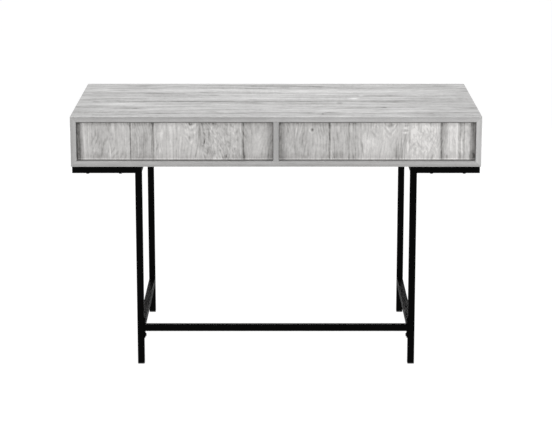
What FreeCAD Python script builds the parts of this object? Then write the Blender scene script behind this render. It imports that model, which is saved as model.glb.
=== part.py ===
import FreeCAD, Part
import os

# Writing desk: a mitred laminate casing with two inset drawers, carried on a frame of
# square steel tube. Millimetres. The origin is on the floor under the middle of the
# desk, +X to the right of a person sitting at it, -Y towards that person, +Z up.

Vector = FreeCAD.Vector
X = Vector(1, 0, 0)
Y = Vector(0, 1, 0)
Z = Vector(0, 0, 1)
ALL = Vector(1, 1, 1)

# ---- casing ----
WIDTH = 1200.0              # left to right
DEPTH = 600.0               # front to back
HEIGHT = 750.0              # floor to the top surface
CASE_HEIGHT = 148.0         # top surface to the underside of the casing
BOARD = 16.0                # board of the casing and of the drawer fronts
ARRIS = 1.0                 # rounding of the boards' banded edges
BACK_BOARD = 12.0           # thickness of the back panel
BACK_RECESS = 6.0           # back panel behind the casing's rear edges
SPLINE_THICK = 3.0          # plywood spline in each mitre
SPLINE_WIDE = 11.0
SPLINE_STOP = 25.0          # end of a spline short of the board's edge

# ---- frame ----
TUBE = 20.0                 # square tube, outside
TUBE_WALL = 1.5
TUBE_CORNER = 2.5           # outside corner radius of the tube
FRAME_INSET = 3.0           # frame inside the casing's outline, all round
ARM_LENGTH = 184.0          # leg's outer face to the arm's outer end
SIDE_STRETCHER_Z = 103.0    # centre line above the floor
FRONT_STRETCHER_Z = 111.0
PLATE_THICK = 3.0           # plate welded to each end of the front stretcher
PLATE_TALL = 62.0
PLATE_BOLT_PITCH = 46.0     # between the two bolts of a plate
GLIDE_THICK = 4.0           # foot glide below the tube
CAP_THICK = 2.0             # end cap beyond the tube
PLUG_DEEP = 12.0            # part of a glide or cap inside the tube
PLUG_FIT = 0.2              # plug to the tube's inner wall
ARM_SCREW_END = 45.0        # arm's outer end to its first screw
ARM_SCREW_PITCH = 96.0

# ---- drawers ----
FRONT_RECESS = 16.0         # drawer front behind the casing's front edges
FRONT_SIDE_GAP = 1.2
FRONT_TOP_GAP = 4.0
FRONT_BOTTOM_GAP = 2.0
BOX_BOARD = 12.0            # sides and back of the drawer box
BOX_LIFT = 6.0              # box above the casing's bottom board
BOX_HEADROOM = 28.0         # box below the casing's top board
BOX_REAR_SPACE = 72.0       # behind the box, for the touch latch
TRAY = 3.0                  # hardboard drawer bottom
TRAY_UP = 8.0               # underside of the tray above the box's lower edge
TRAY_GROOVE = 5.0           # depth of the groove it sits in
TRAY_FIT = 0.2

# ---- telescopic rails ----
RAIL_SPACE = 13.0           # casing wall to drawer side
RAIL_TALL = 45.0
RAIL_SHEET = 1.2
RAIL_FIT = 0.4              # running clearance between nested members
RAIL_CABINET_DEEP = 9.5     # reach of the cabinet member's flanges
RAIL_MID_FROM = 3.0         # web of the middle member from the wall
RAIL_MID_TO = 10.5
RAIL_DRAWER_FROM = 5.5      # drawer member's flanges from the wall
RAIL_FRONT_GAP = 4.0        # rail's front end behind the drawer front
RAIL_REAR_GAP = 32.0        # rail's rear end before the box's rear face
RAIL_SCREW_END = 40.0       # screw from each end of the rail
RAIL_SCREW_BITE = 7.0

# ---- touch latch ----
LATCH_WIDE = 18.0
LATCH_TALL = 18.0
LATCH_REACH = 12.0          # plunger in front of the housing
LATCH_AXIS_UP = 10.0        # plunger's axis above the casing's bottom board
LATCH_BORE_DEEP = 32.0
LATCH_EAR = 8.0             # screw ear on each side of the housing
LATCH_EAR_THICK = 3.0
PLUNGER_RADIUS = 4.0
PLUNGER_TAIL = 26.0         # part of the plunger inside the housing
PLUNGER_FIT = 0.3           # round the plunger, and from its tip to the drawer

# ---- fasteners: shank radius, head radius, head height ----
CASING_SCREW = (2.4, 5.0, 3.2)
PLATE_BOLT = (3.0, 5.5, 3.3)
PANEL_SCREW = (2.2, 4.0, 1.6)
SMALL_SCREW = (1.7, 3.2, 1.2)
CASING_SCREW_BITE = 12.0
PANEL_SCREW_BITE = 32.0
PLATE_BOLT_LONG = 15.0
NUT_RADIUS = 4.5            # rivet nut in the leg
NUT_LONG = 14.0
DOWEL_RADIUS = 3.0
DOWEL_LONG = 25.0
DOWEL_SHALLOW = 10.0        # share of a dowel in a board's face
CAM_RADIUS = 7.5            # cam lock of the casing
CAM_DEEP = 12.5
BOX_CAM_RADIUS = 6.0        # cam lock of a drawer box
BOX_CAM_DEEP = 9.5
CAM_OFFSET = 24.0           # cam's centre from the joint
CAM_BOLT_RADIUS = 2.5
CAM_BOLT_BITE = 10.0        # cam bolt in the facing board
BOX_CAM_LOW = 24.0          # lower cams above the box's lower edge
BOX_CAM_HIGH = 16.0         # upper cams below the box's upper edge
JOINT_FROM_EDGE = 60.0      # casing joints from its front and rear edges
HOLE_FIT = 0.05             # hole round a shank, cam or dowel
CLEAR_FIT = 0.35            # clearance hole round a screw or bolt

# ---- places that follow from the sizes above ----
FRONT_Y = -DEPTH / 2
CASE_FLOOR = HEIGHT - CASE_HEIGHT
BAY_Z0 = CASE_FLOOR + BOARD
BAY_Z1 = HEIGHT - BOARD
BAY_WIDE = (WIDTH - 3 * BOARD) / 2
BAY_X = (BAY_WIDE + BOARD) / 2
BACK_Y1 = DEPTH / 2 - BACK_RECESS
BACK_Y0 = BACK_Y1 - BACK_BOARD
BOX_Y0 = FRONT_Y + FRONT_RECESS + BOARD
BOX_Y1 = BACK_Y0 - BOX_REAR_SPACE
BOX_Z0 = BAY_Z0 + BOX_LIFT
BOX_Z1 = BAY_Z1 - BOX_HEADROOM
BOX_HALF = BAY_WIDE / 2 - RAIL_SPACE
RAIL_Y0 = BOX_Y0 + RAIL_FRONT_GAP
RAIL_Y1 = BOX_Y1 - RAIL_REAR_GAP
RAIL_Z = (BOX_Z0 + BOX_Z1) / 2
LEG_X = WIDTH / 2 - FRAME_INSET - ARM_LENGTH - TUBE / 2
LEG_Y = DEPTH / 2 - FRAME_INSET - TUBE / 2
TOP_TUBE_Z = CASE_FLOOR - TUBE / 2
PLATE_X = LEG_X - TUBE / 2
SIDES = (("left", -1), ("right", 1))
ENDS = (("front", -1), ("rear", 1))


# ---- shapes ----
def block(x, y, z):
    """Box between two values on each axis."""
    size = (x[1] - x[0], y[1] - y[0], z[1] - z[0])
    return Part.makeBox(*size, Vector(x[0], y[0], z[0]))


def span(middle, size):
    """The two ends of a length about its middle."""
    return (middle - size / 2, middle + size / 2)


def ordered(a, b):
    return (min(a, b), max(a, b))


def rod(start, axis, radius, length):
    return Part.makeCylinder(radius, length, start, axis)


def prism_along_y(points, y):
    """Polygon of (x, z) points drawn out between two values of y."""
    corners = [Vector(px, y[0], pz) for px, pz in points]
    face = Part.Face(Part.makePolygon(corners + corners[:1]))
    return face.extrude(Vector(0, y[1] - y[0], 0))


def runs_along(edge, axis):
    ends = edge.Vertexes[-1].Point - edge.Vertexes[0].Point
    return ends.Length > 0 and ends.cross(axis).Length < 1e-6


def rounded(shape, radius, axes, at_y):
    """Fillet the straight edges along the axes that lie on one of the y planes."""
    chosen = []
    for edge in shape.Edges:
        on_plane = any(abs(edge.CenterOfMass.y - y) < 1e-6 for y in at_y)
        if on_plane and any(runs_along(edge, axis) for axis in axes):
            chosen.append(edge)
    return shape.makeFillet(radius, chosen)


def rounded_bar(start, axis, length, half, corner):
    """Square bar from a point along an axis, with rounded long edges."""
    across = ALL - axis
    size = axis * length + across * (2 * half)
    bar = Part.makeBox(size.x, size.y, size.z, start - across * half)
    return bar.makeFillet(corner, [e for e in bar.Edges if runs_along(e, axis)])


def square_tube(start, axis, length):
    outside = rounded_bar(start, axis, length, TUBE / 2, TUBE_CORNER)
    half = TUBE / 2 - TUBE_WALL
    return outside.cut(rounded_bar(start, axis, length, half, TUBE_CORNER - TUBE_WALL))


def cross_slot(centre, axis, reach, width, depth):
    """Cross recess, cut from a head's outer face down along the axis."""
    slot = None
    for line in (X, Y, Z):
        if abs(line.dot(axis)) > 0.5:
            continue
        side = axis.cross(line)
        corner = centre - line * reach - side * (width / 2)
        base = Part.Face(Part.makePolygon([
            corner, corner + line * (2 * reach), corner + line * (2 * reach) + side * width,
            corner + side * width, corner]))
        bar = base.extrude(axis * depth)
        slot = bar if slot is None else slot.fuse(bar)
    return slot


def screw(seat, axis, length, sizes):
    """Domed head that bears on the seat, and a shank that runs on along the axis."""
    shank_radius, head_radius, head_height = sizes
    outer = seat - axis * head_height
    head = rod(outer, axis, head_radius, head_height)
    rim = [e for e in head.Edges if (e.BoundBox.Center - outer).Length < 1e-3]
    head = head.makeFillet(0.8 * head_height, rim)
    slot = cross_slot(outer, axis, 0.6 * head_radius, 0.3 * head_radius, 0.5 * head_height)
    return head.cut(slot).fuse(rod(seat, axis, shank_radius, length)).removeSplitter()


def hole_for(seat, axis, length, sizes, fit=HOLE_FIT):
    return rod(seat, axis, sizes[0] + fit, length + fit)


def cam_lock(face_point, axis, radius, depth, bolt_axis):
    """Cam lock from a board's face along the axis, hollowed for its bolt's head."""
    cam = rod(face_point, axis, radius, depth)
    middle = face_point + axis * bolt_line(depth)
    passage = rod(middle, bolt_axis, CAM_BOLT_RADIUS + CLEAR_FIT, radius + 1)
    slot = cross_slot(face_point, axis, 0.55 * radius, 0.2 * radius, 1.5)
    return cam.cut([passage, slot])


def bolt_line(depth):
    """Depth of the bolt's axis under the face that a cam lock is let into."""
    return depth - CAM_BOLT_RADIUS - 2.0


# ---- casing ----
def mitre_corners():
    """Sign in x, sign in z and centre of each mitred corner of the casing."""
    for _, sx in SIDES:
        for sz, z in ((1, HEIGHT - BOARD / 2), (-1, CASE_FLOOR + BOARD / 2)):
            yield sx, sz, Vector(sx * (WIDTH - BOARD) / 2, 0, z)


def mitre_strips(fit):
    """Strips square to the mitres, as splines (no fit) or as their grooves."""
    strips = []
    half = DEPTH / 2 - SPLINE_STOP + fit
    for sx, sz, centre in mitre_corners():
        strip = block(span(0, SPLINE_THICK + 2 * fit), (-half, half),
                      span(0, SPLINE_WIDE + 2 * fit))
        strip.rotate(Vector(0, 0, 0), Y, -45 * sx * sz)
        strip.translate(centre)
        strips.append(strip)
    return strips


def level_board(outer_z, inner_z):
    """Top or bottom board of the casing, mitred at both ends."""
    outer = WIDTH / 2
    inner = outer - BOARD
    points = [(-outer, outer_z), (outer, outer_z), (inner, inner_z), (-inner, inner_z)]
    board = prism_along_y(points, (FRONT_Y, -FRONT_Y))
    return rounded(board, ARRIS, (X,), (FRONT_Y, -FRONT_Y))


def end_board(side):
    """Left or right board of the casing, mitred at top and bottom."""
    outer = side * WIDTH / 2
    inner = side * (WIDTH / 2 - BOARD)
    points = [(outer, CASE_FLOOR), (outer, HEIGHT), (inner, BAY_Z1), (inner, BAY_Z0)]
    board = prism_along_y(points, (FRONT_Y, -FRONT_Y))
    return rounded(board, ARRIS, (Z,), (FRONT_Y, -FRONT_Y))


def joint_rows():
    """Places along the depth where the divider is joined to top and bottom."""
    return (FRONT_Y + JOINT_FROM_EDGE, BACK_Y0 - JOINT_FROM_EDGE)


def divider_cams():
    """Cam locks of the divider's top edge, their pockets, bolts and bolt holes."""
    cams, bolts, cutters = [], [], []
    face = -BOARD / 2
    for y in joint_rows():
        z = BAY_Z1 - CAM_OFFSET
        line_x = face + bolt_line(CAM_DEEP)
        cams.append(cam_lock(Vector(face, y, z), X, CAM_RADIUS, CAM_DEEP, Z))
        cutters.append(rod(Vector(face, y, z), X, CAM_RADIUS + HOLE_FIT, CAM_DEEP + HOLE_FIT))
        bolts.append(rod(Vector(line_x, y, z), Z, CAM_BOLT_RADIUS, CAM_OFFSET + CAM_BOLT_BITE))
        cutters.append(rod(Vector(line_x, y, z), Z, CAM_BOLT_RADIUS + HOLE_FIT,
                           CAM_OFFSET + CAM_BOLT_BITE + HOLE_FIT))
    return cams, bolts, cutters


def dowels():
    """Dowels of the divider's top edge and of the back panel's ends, and their holes."""
    made, cutters = [], []
    places = []
    for y in joint_rows():
        inward = -1 if y > 0 else 1
        places.append((Vector(0, y + inward * 32, BAY_Z1 + DOWEL_SHALLOW), -Z))
    for _, side in SIDES:
        wall = side * (WIDTH / 2 - BOARD + DOWEL_SHALLOW)
        for z in (BAY_Z0 + 25, BAY_Z1 - 25):
            places.append((Vector(wall, (BACK_Y0 + BACK_Y1) / 2, z), X * -side))
    for start, axis in places:
        made.append(rod(start, axis, DOWEL_RADIUS, DOWEL_LONG))
        cutters.append(rod(start - axis * HOLE_FIT, axis, DOWEL_RADIUS + HOLE_FIT,
                           DOWEL_LONG + 2 * HOLE_FIT))
    return made, cutters


def panel_screws():
    """Screws up into the divider and through the back panel into it, and their holes."""
    made, cutters = [], []
    places = [(Vector(0, y, CASE_FLOOR), Z, BOARD) for y in joint_rows()]
    places += [(Vector(0, BACK_Y1, z), -Y, BACK_BOARD) for z in (BAY_Z0 + 25, BAY_Z1 - 25)]
    for face_point, axis, board in places:
        seat = face_point + axis * PANEL_SCREW[2]
        length = board - PANEL_SCREW[2] + PANEL_SCREW_BITE
        made.append(screw(seat, axis, length, PANEL_SCREW))
        cutters.append(hole_for(seat, axis, length, PANEL_SCREW))
        cutters.append(rod(face_point, axis, PANEL_SCREW[1] + HOLE_FIT, PANEL_SCREW[2]))
    return made, cutters


def make_casing(extra_cutters):
    """Boards of the casing and what joins them, cut for every fastener that enters."""
    cams, bolts, cam_holes = divider_cams()
    pegs, peg_holes = dowels()
    screws, screw_holes = panel_screws()
    cutters = cam_holes + peg_holes + screw_holes + extra_cutters
    cutters += mitre_strips(HOLE_FIT)
    divider = block(span(0, BOARD), (FRONT_Y, BACK_Y0), (BAY_Z0, BAY_Z1))
    inner = WIDTH / 2 - BOARD
    boards = {
        "top_panel": level_board(HEIGHT, BAY_Z1),
        "bottom_panel": level_board(CASE_FLOOR, BAY_Z0),
        "left_side_panel": end_board(-1),
        "right_side_panel": end_board(1),
        "centre_divider": rounded(divider, ARRIS, (Z,), (FRONT_Y,)),
        "back_panel": block((-inner, inner), (BACK_Y0, BACK_Y1), (BAY_Z0, BAY_Z1)),
    }
    nodes = {name: [board.cut(cutters)] for name, board in boards.items()}
    nodes["mitre_splines"] = mitre_strips(0)
    nodes["divider_cam_locks"] = cams
    nodes["divider_cam_bolts"] = bolts
    nodes["wood_dowels"] = pegs
    nodes["panel_screws"] = screws
    return nodes


# ---- frame ----
def plug(end, axis, flange_thick):
    """Plastic plug for a tube's end: a flange beyond the end and a plug inside it."""
    out = end + axis * flange_thick if axis.dot(ALL) < 0 else end
    flange = rounded_bar(out, unsigned(axis), flange_thick, TUBE / 2, TUBE_CORNER)
    outer = end + axis * flange_thick
    rim = [e for e in flange.Edges
           if abs((e.CenterOfMass - outer).dot(axis)) < 1e-3]
    flange = flange.makeFillet(0.35 * flange_thick, rim)
    half = TUBE / 2 - TUBE_WALL - PLUG_FIT
    start = end if axis.dot(ALL) < 0 else end - axis * PLUG_DEEP
    inner = rounded_bar(start, unsigned(axis), PLUG_DEEP, half, TUBE_CORNER - TUBE_WALL)
    return flange.fuse(inner).removeSplitter()


def unsigned(axis):
    return Vector(abs(axis.x), abs(axis.y), abs(axis.z))


def make_legs():
    """Four legs, cut for the rivet nuts of the front stretcher, and their glides."""
    nodes = {}
    glides = []
    nut_holes = [rod(place, axis, NUT_RADIUS, TUBE_WALL + 1) for place, axis in plate_bolt_places()]
    for side_name, side in SIDES:
        for end_name, end in ENDS:
            foot = Vector(side * LEG_X, end * LEG_Y, GLIDE_THICK)
            leg = square_tube(foot, Z, CASE_FLOOR - GLIDE_THICK)
            if end_name == "front":
                leg = leg.cut(nut_holes)
            nodes[end_name + "_" + side_name + "_leg"] = [leg]
            glides.append(plug(foot, -Z, GLIDE_THICK))
    nodes["foot_glides"] = glides
    return nodes


def make_arms():
    """Four arms that reach out under the casing, their caps and the casing screws."""
    nodes = {}
    caps = []
    screws = []
    board_holes = []
    inner = LEG_X + TUBE / 2
    outer = WIDTH / 2 - FRAME_INSET - CAP_THICK
    for side_name, side in SIDES:
        for end_name, end in ENDS:
            y = end * LEG_Y
            x = ordered(side * inner, side * outer)
            arm = square_tube(Vector(x[0], y, TOP_TUBE_Z), X, x[1] - x[0])
            for step in (0, 1):
                from_end = ARM_SCREW_END + step * ARM_SCREW_PITCH
                seat = Vector(side * (WIDTH / 2 - FRAME_INSET - from_end), y, CASE_FLOOR - TUBE)
                length = TUBE + CASING_SCREW_BITE
                screws.append(screw(seat, Z, length, CASING_SCREW))
                arm = arm.cut(hole_for(seat, Z, TUBE, CASING_SCREW, CLEAR_FIT))
                board_holes.append(hole_for(seat, Z, length, CASING_SCREW))
            nodes[end_name + "_" + side_name + "_arm"] = [arm]
            caps.append(plug(Vector(side * outer, y, TOP_TUBE_Z), X * side, CAP_THICK))
    nodes["arm_end_caps"] = caps
    nodes["casing_screws"] = screws
    return nodes, board_holes


def make_side_tubes():
    """Tubes from front leg to rear leg: one under the casing and one near the floor."""
    nodes = {}
    length = 2 * LEG_Y - TUBE
    for side_name, side in SIDES:
        for node, z in (("_top_rail", TOP_TUBE_Z), ("_side_stretcher", SIDE_STRETCHER_Z)):
            start = Vector(side * LEG_X, -length / 2, z)
            nodes[side_name + node] = [square_tube(start, Y, length)]
    return nodes


def plate_bolt_places():
    """Point on the front leg's inner face and direction into the leg, for each bolt."""
    places = []
    for _, side in SIDES:
        for step in (-0.5, 0.5):
            z = FRONT_STRETCHER_Z + step * PLATE_BOLT_PITCH
            places.append((Vector(side * PLATE_X, -LEG_Y, z), X * side))
    return places


def make_front_stretcher():
    """Long tube between the front legs, with its end plates, bolts and rivet nuts."""
    half = PLATE_X - PLATE_THICK
    tube = square_tube(Vector(-half, -LEG_Y, FRONT_STRETCHER_Z), X, 2 * half)
    plates = []
    bolts = []
    nuts = []
    bolt_holes = []
    for place, axis in plate_bolt_places():
        seat = place - axis * PLATE_THICK
        bolts.append(screw(seat, axis, PLATE_BOLT_LONG, PLATE_BOLT))
        bolt_holes.append(hole_for(seat, axis, PLATE_THICK, PLATE_BOLT, CLEAR_FIT))
        bore = rod(place, axis, PLATE_BOLT[0] + HOLE_FIT, NUT_LONG)
        nuts.append(rod(place, axis, NUT_RADIUS - HOLE_FIT, NUT_LONG).cut(bore))
    for _, side in SIDES:
        plate = block(ordered(side * half, side * PLATE_X), span(-LEG_Y, TUBE),
                      span(FRONT_STRETCHER_Z, PLATE_TALL))
        corners = [e for e in plate.Edges if runs_along(e, X)]
        plates.append(plate.makeFillet(TUBE_CORNER, corners).cut(bolt_holes))
    return {
        "front_stretcher": [tube],
        "stretcher_end_plates": plates,
        "stretcher_bolts": bolts,
        "rivet_nuts": nuts,
    }


# ---- telescopic rails ----
def channel(wall_x, inward, web_x, flange_x, tall, y):
    """C channel: its web and the tips of its flanges are given from the wall."""
    def at(depth):
        return wall_x + inward * depth

    web_end = web_x + RAIL_SHEET if flange_x > web_x else web_x - RAIL_SHEET
    hollow_end = flange_x + (1 if flange_x > web_x else -1)
    solid = block(ordered(at(web_x), at(flange_x)), y, span(RAIL_Z, tall))
    hollow = block(ordered(at(web_end), at(hollow_end)), y, span(RAIL_Z, tall - 2 * RAIL_SHEET))
    return solid.cut(hollow)


def rail_walls(bay_x):
    """The two walls of a bay: place in x and direction towards the drawer."""
    return ((bay_x - BAY_WIDE / 2, 1), (bay_x + BAY_WIDE / 2, -1))


def rail_screw_rows():
    return (RAIL_Y0 + RAIL_SCREW_END, RAIL_Y1 - RAIL_SCREW_END)


def rail_members(bay_x):
    """Cabinet, middle and drawer members of both rails of a bay."""
    y = (RAIL_Y0, RAIL_Y1)
    step = 2 * (RAIL_SHEET + RAIL_FIT)
    cabinet, middle, drawer = [], [], []
    for wall_x, inward in rail_walls(bay_x):
        cabinet.append(channel(wall_x, inward, 0, RAIL_CABINET_DEEP, RAIL_TALL, y))
        middle.append(channel(wall_x, inward, RAIL_MID_FROM, RAIL_MID_TO, RAIL_TALL - step, y))
        drawer.append(channel(wall_x, inward, RAIL_SPACE, RAIL_DRAWER_FROM,
                              RAIL_TALL - 2 * step, y))
    return cabinet, middle, drawer


def rail_screws(bay_x, on_drawer):
    """Screws through a rail's web into the casing wall or the drawer side, with holes."""
    made, cutters = [], []
    for wall_x, inward in rail_walls(bay_x):
        for y in rail_screw_rows():
            if on_drawer:
                seat = Vector(wall_x + inward * (RAIL_SPACE - RAIL_SHEET), y, RAIL_Z)
                axis = X * inward
            else:
                seat = Vector(wall_x + inward * RAIL_SHEET, y, RAIL_Z)
                axis = X * -inward
            length = RAIL_SHEET + RAIL_SCREW_BITE
            made.append(screw(seat, axis, length, SMALL_SCREW))
            cutters.append(hole_for(seat, axis, length, SMALL_SCREW))
    return made, cutters


# ---- touch latches ----
def latch_axis_point(bay_x, y):
    return Vector(bay_x, y, BAY_Z0 + LATCH_AXIS_UP)


def latch_front():
    return BOX_Y1 + LATCH_REACH


def make_latch(bay_x):
    """Housing, screws, screw holes and plunger of the latch behind one drawer."""
    y = (latch_front(), BACK_Y0)
    body = block(span(bay_x, LATCH_WIDE), y, (BAY_Z0, BAY_Z0 + LATCH_TALL))
    ears = block(span(bay_x, LATCH_WIDE + 2 * LATCH_EAR), y, (BAY_Z0, BAY_Z0 + LATCH_EAR_THICK))
    bore = rod(latch_axis_point(bay_x, y[0]), Y, PLUNGER_RADIUS + PLUNGER_FIT, LATCH_BORE_DEEP)
    screws, holes = [], []
    for side in (-1, 1):
        place_x = bay_x + side * (LATCH_WIDE + LATCH_EAR) / 2
        seat = Vector(place_x, sum(y) / 2, BAY_Z0 + LATCH_EAR_THICK)
        length = LATCH_EAR_THICK + CAM_BOLT_BITE
        screws.append(screw(seat, -Z, length, SMALL_SCREW))
        holes.append(hole_for(seat, -Z, length, SMALL_SCREW))
    housing = body.fuse(ears).removeSplitter().cut([bore] + holes)
    tip = BOX_Y1 + PLUNGER_FIT
    plunger = rod(latch_axis_point(bay_x, tip), Y, PLUNGER_RADIUS, y[0] - tip + PLUNGER_TAIL)
    rim = [e for e in plunger.Edges if abs(e.BoundBox.Center.y - tip) < 1e-3]
    return housing, screws, holes, plunger.makeFillet(PLUNGER_RADIUS / 4, rim)


# ---- drawers ----
def box_cams(bay_x):
    """Cam locks in the drawer's sides, bolts into its front, and all their holes."""
    cams, bolts, cutters = [], [], []
    for side in (-1, 1):
        face = bay_x + side * (BOX_HALF - BOX_BOARD)
        outward = X * side
        line_x = face + side * bolt_line(BOX_CAM_DEEP)
        for z in (BOX_Z0 + BOX_CAM_LOW, BOX_Z1 - BOX_CAM_HIGH):
            y = BOX_Y0 + CAM_OFFSET
            cams.append(cam_lock(Vector(face, y, z), outward, BOX_CAM_RADIUS, BOX_CAM_DEEP, -Y))
            cutters.append(rod(Vector(face, y, z), outward, BOX_CAM_RADIUS + HOLE_FIT,
                               BOX_CAM_DEEP + HOLE_FIT))
            length = CAM_OFFSET + CAM_BOLT_BITE
            bolts.append(rod(Vector(line_x, y, z), -Y, CAM_BOLT_RADIUS, length))
            cutters.append(rod(Vector(line_x, y, z), -Y, CAM_BOLT_RADIUS + HOLE_FIT,
                               length + HOLE_FIT))
    return cams, bolts, cutters


def back_screws(bay_x):
    """Screws through the drawer's sides into the ends of its back, and their holes."""
    made, cutters = [], []
    for side in (-1, 1):
        face_x = bay_x + side * BOX_HALF
        inward = X * -side
        for z in (BOX_Z0 + TRAY_UP + TRAY + 6, BOX_Z1 - BOX_CAM_HIGH + 4):
            face_point = Vector(face_x, BOX_Y1 - BOX_BOARD / 2, z)
            seat = face_point + inward * SMALL_SCREW[2]
            length = BOX_BOARD - SMALL_SCREW[2] + 20
            made.append(screw(seat, inward, length, SMALL_SCREW))
            cutters.append(hole_for(seat, inward, length, SMALL_SCREW))
            cutters.append(rod(face_point, inward, SMALL_SCREW[1] + HOLE_FIT, SMALL_SCREW[2]))
    return made, cutters


def drawer_front(bay_x):
    front = block(span(bay_x, BAY_WIDE - 2 * FRONT_SIDE_GAP),
                  (BOX_Y0 - BOARD, BOX_Y0),
                  (BAY_Z0 + FRONT_BOTTOM_GAP, BAY_Z1 - FRONT_TOP_GAP))
    return rounded(front, ARRIS, (X, Z), (BOX_Y0 - BOARD, BOX_Y0))


def make_drawer(name, bay_x, drawer_rails):
    """One drawer: front, box, tray, drawer rails and the fasteners of all of them."""
    inner = BOX_HALF - BOX_BOARD
    box_z = (BOX_Z0, BOX_Z1)
    tray_z = BOX_Z0 + TRAY_UP
    reach = inner + TRAY_GROOVE
    groove_y = (BOX_Y0 - TRAY_GROOVE, BOX_Y1 - BOX_BOARD + TRAY_GROOVE)
    groove = block((bay_x - reach, bay_x + reach), groove_y, (tray_z, tray_z + TRAY + TRAY_FIT))
    tray = block((bay_x - reach + TRAY_FIT, bay_x + reach - TRAY_FIT),
                 (groove_y[0] + TRAY_FIT, groove_y[1] - TRAY_FIT), (tray_z, tray_z + TRAY))
    cams, bolts, cam_holes = box_cams(bay_x)
    screws, screw_holes = back_screws(bay_x)
    runner_screws, runner_holes = rail_screws(bay_x, True)
    cutters = cam_holes + screw_holes + runner_holes + [groove]
    left = (bay_x - BOX_HALF, bay_x - inner)
    right = (bay_x + inner, bay_x + BOX_HALF)
    boards = {
        "_front": drawer_front(bay_x),
        "_left_side": block(left, (BOX_Y0, BOX_Y1), box_z),
        "_right_side": block(right, (BOX_Y0, BOX_Y1), box_z),
        "_back": block((bay_x - inner, bay_x + inner), (BOX_Y1 - BOX_BOARD, BOX_Y1), box_z),
    }
    nodes = {name + part: [board.cut(cutters)] for part, board in boards.items()}
    nodes[name + "_bottom"] = [tray]
    nodes[name + "_rails"] = [rail.cut(runner_holes) for rail in drawer_rails]
    nodes[name + "_rail_screws"] = runner_screws
    nodes[name + "_cam_locks"] = cams
    nodes[name + "_cam_bolts"] = bolts
    nodes[name + "_back_screws"] = screws
    return nodes


def make_bays():
    """Drawers, rails and latches of both bays, and the holes they need in the casing."""
    nodes = {}
    casing_holes = []
    cabinet_screws = []
    housings = []
    latch_screws = []
    for side_name, side in SIDES:
        bay_x = side * BAY_X
        drawer_name = side_name + "_drawer"
        cabinet, middle, drawer = rail_members(bay_x)
        screws, screw_holes = rail_screws(bay_x, False)
        housing, ear_screws, ear_holes, plunger = make_latch(bay_x)
        nodes.update(make_drawer(drawer_name, bay_x, drawer))
        nodes[drawer_name + "_mid_rails"] = middle
        nodes[side_name + "_cabinet_rails"] = [rail.cut(screw_holes) for rail in cabinet]
        nodes[side_name + "_latch_plunger"] = [plunger]
        cabinet_screws += screws
        housings.append(housing)
        latch_screws += ear_screws
        casing_holes += screw_holes + ear_holes
    nodes["cabinet_rail_screws"] = cabinet_screws
    nodes["touch_latch_housings"] = housings
    nodes["touch_latch_screws"] = latch_screws
    return nodes, casing_holes


def main():
    os.makedirs("parts", exist_ok=True)
    arm_nodes, arm_holes = make_arms()
    bay_nodes, bay_holes = make_bays()
    nodes = make_casing(arm_holes + bay_holes)
    for group in (arm_nodes, bay_nodes, make_legs(), make_side_tubes(), make_front_stretcher()):
        nodes.update(group)
    for name, solids in nodes.items():
        shape = solids[0] if len(solids) == 1 else Part.makeCompound(solids)
        shape.exportStep(os.path.join("parts", name + ".step"))
    print(len(nodes), "nodes")


main()
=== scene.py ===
import math

import bpy
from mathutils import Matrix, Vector

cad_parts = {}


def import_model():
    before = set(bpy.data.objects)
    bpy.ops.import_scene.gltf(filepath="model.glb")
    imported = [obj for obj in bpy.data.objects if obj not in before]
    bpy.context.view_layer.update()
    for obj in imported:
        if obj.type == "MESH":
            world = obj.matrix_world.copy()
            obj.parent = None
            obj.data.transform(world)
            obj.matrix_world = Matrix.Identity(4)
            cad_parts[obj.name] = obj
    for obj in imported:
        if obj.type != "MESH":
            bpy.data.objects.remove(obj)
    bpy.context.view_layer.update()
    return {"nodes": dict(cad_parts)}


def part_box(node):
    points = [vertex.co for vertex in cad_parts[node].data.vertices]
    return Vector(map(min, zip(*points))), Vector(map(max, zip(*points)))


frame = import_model()

# The casing, in metres in the shared frame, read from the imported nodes.
CASE_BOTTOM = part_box("bottom_panel")[0][2]
TOP_LO, TOP_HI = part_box("top_panel")
HALF_WIDTH = TOP_HI[0]
CASE_TOP = TOP_HI[2]
BOARD = CASE_TOP - TOP_LO[2]
UNDER_TOP = TOP_LO[2]

# Each CAD node's material slot in the record, read before any is painted.
CAME_WITH = {name: node.material_slots[0].material.name for name, node in frame["nodes"].items()}


# ---------------------------------------------------------------- node building


def linear(level):
    """A screen level from 0 to 255 as linear light."""
    c = level / 255
    return c / 12.92 if c <= 0.04045 else ((c + 0.055) / 1.055) ** 2.4


def grey(level, warmth=0.0):
    """A grey of that screen level, a little red and less blue where warmth is above 0."""
    return (linear(level * (1 + warmth)), linear(level), linear(level * (1 - warmth)), 1.0)


FACING = (0.5, 0.9)  # parts of a normal where a face starts to count as square to that axis


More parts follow.
